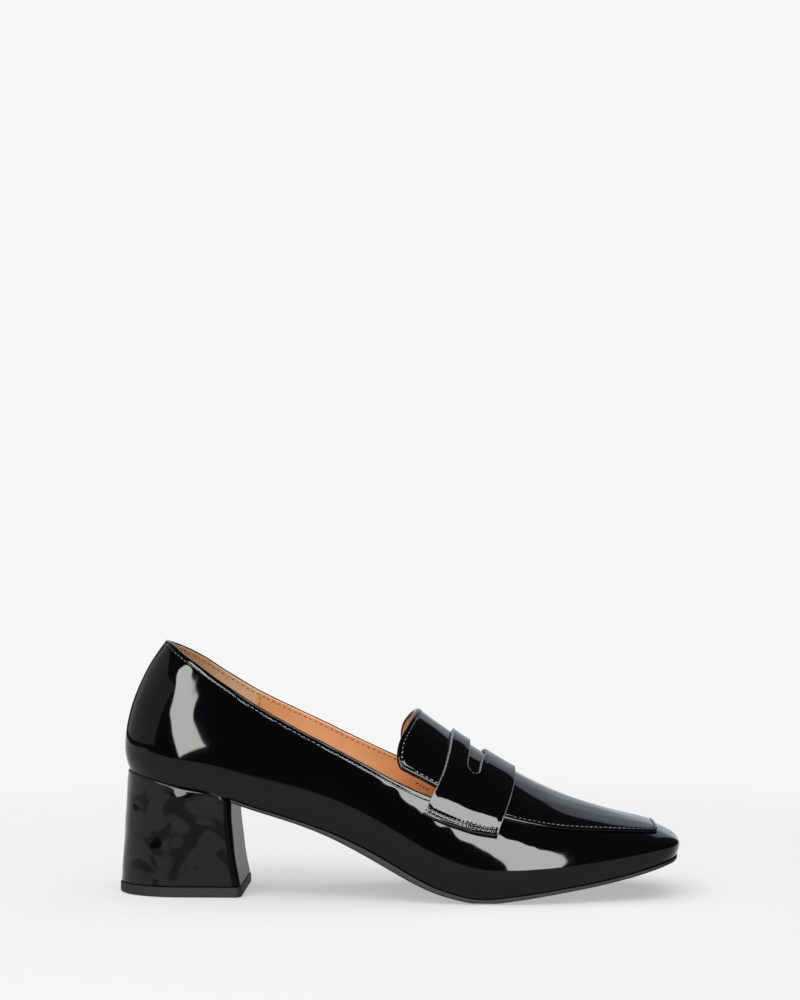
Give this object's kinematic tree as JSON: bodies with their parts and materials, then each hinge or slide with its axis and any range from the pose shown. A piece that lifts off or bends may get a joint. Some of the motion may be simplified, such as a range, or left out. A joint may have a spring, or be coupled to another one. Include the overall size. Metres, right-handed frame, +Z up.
{
  "type": "loafer pump",
  "caption": "Right-foot pump with a block heel, a square toe with a raised plug, a tongue, and a slotted saddle strap across the instep.",
  "frame": {"origin": "on the floor, under the middle of the shoe's length and width", "axes": "+X towards the toe, +Y towards the inner (medial) side, +Z up"},
  "size_m": [0.2453, 0.0795, 0.1102],
  "materials": {
    "patent_upper": "black patent, high gloss",
    "patent_tongue": "black patent, high gloss, tan lining",
    "patent_strap": "black patent, high gloss",
    "sock": "tan, satin",
    "sole": "black, matte",
    "heel_cover": "black patent, high gloss",
    "top_piece": "black, matte"
  },
  "bodies": {
    "root": {"upper": "patent_upper", "tongue": "patent_tongue", "strap": "patent_strap", "insole": "sock", "outsole": "sole", "heel": "heel_cover", "heel_top_piece": "top_piece"}
  },
  "joints": []
}
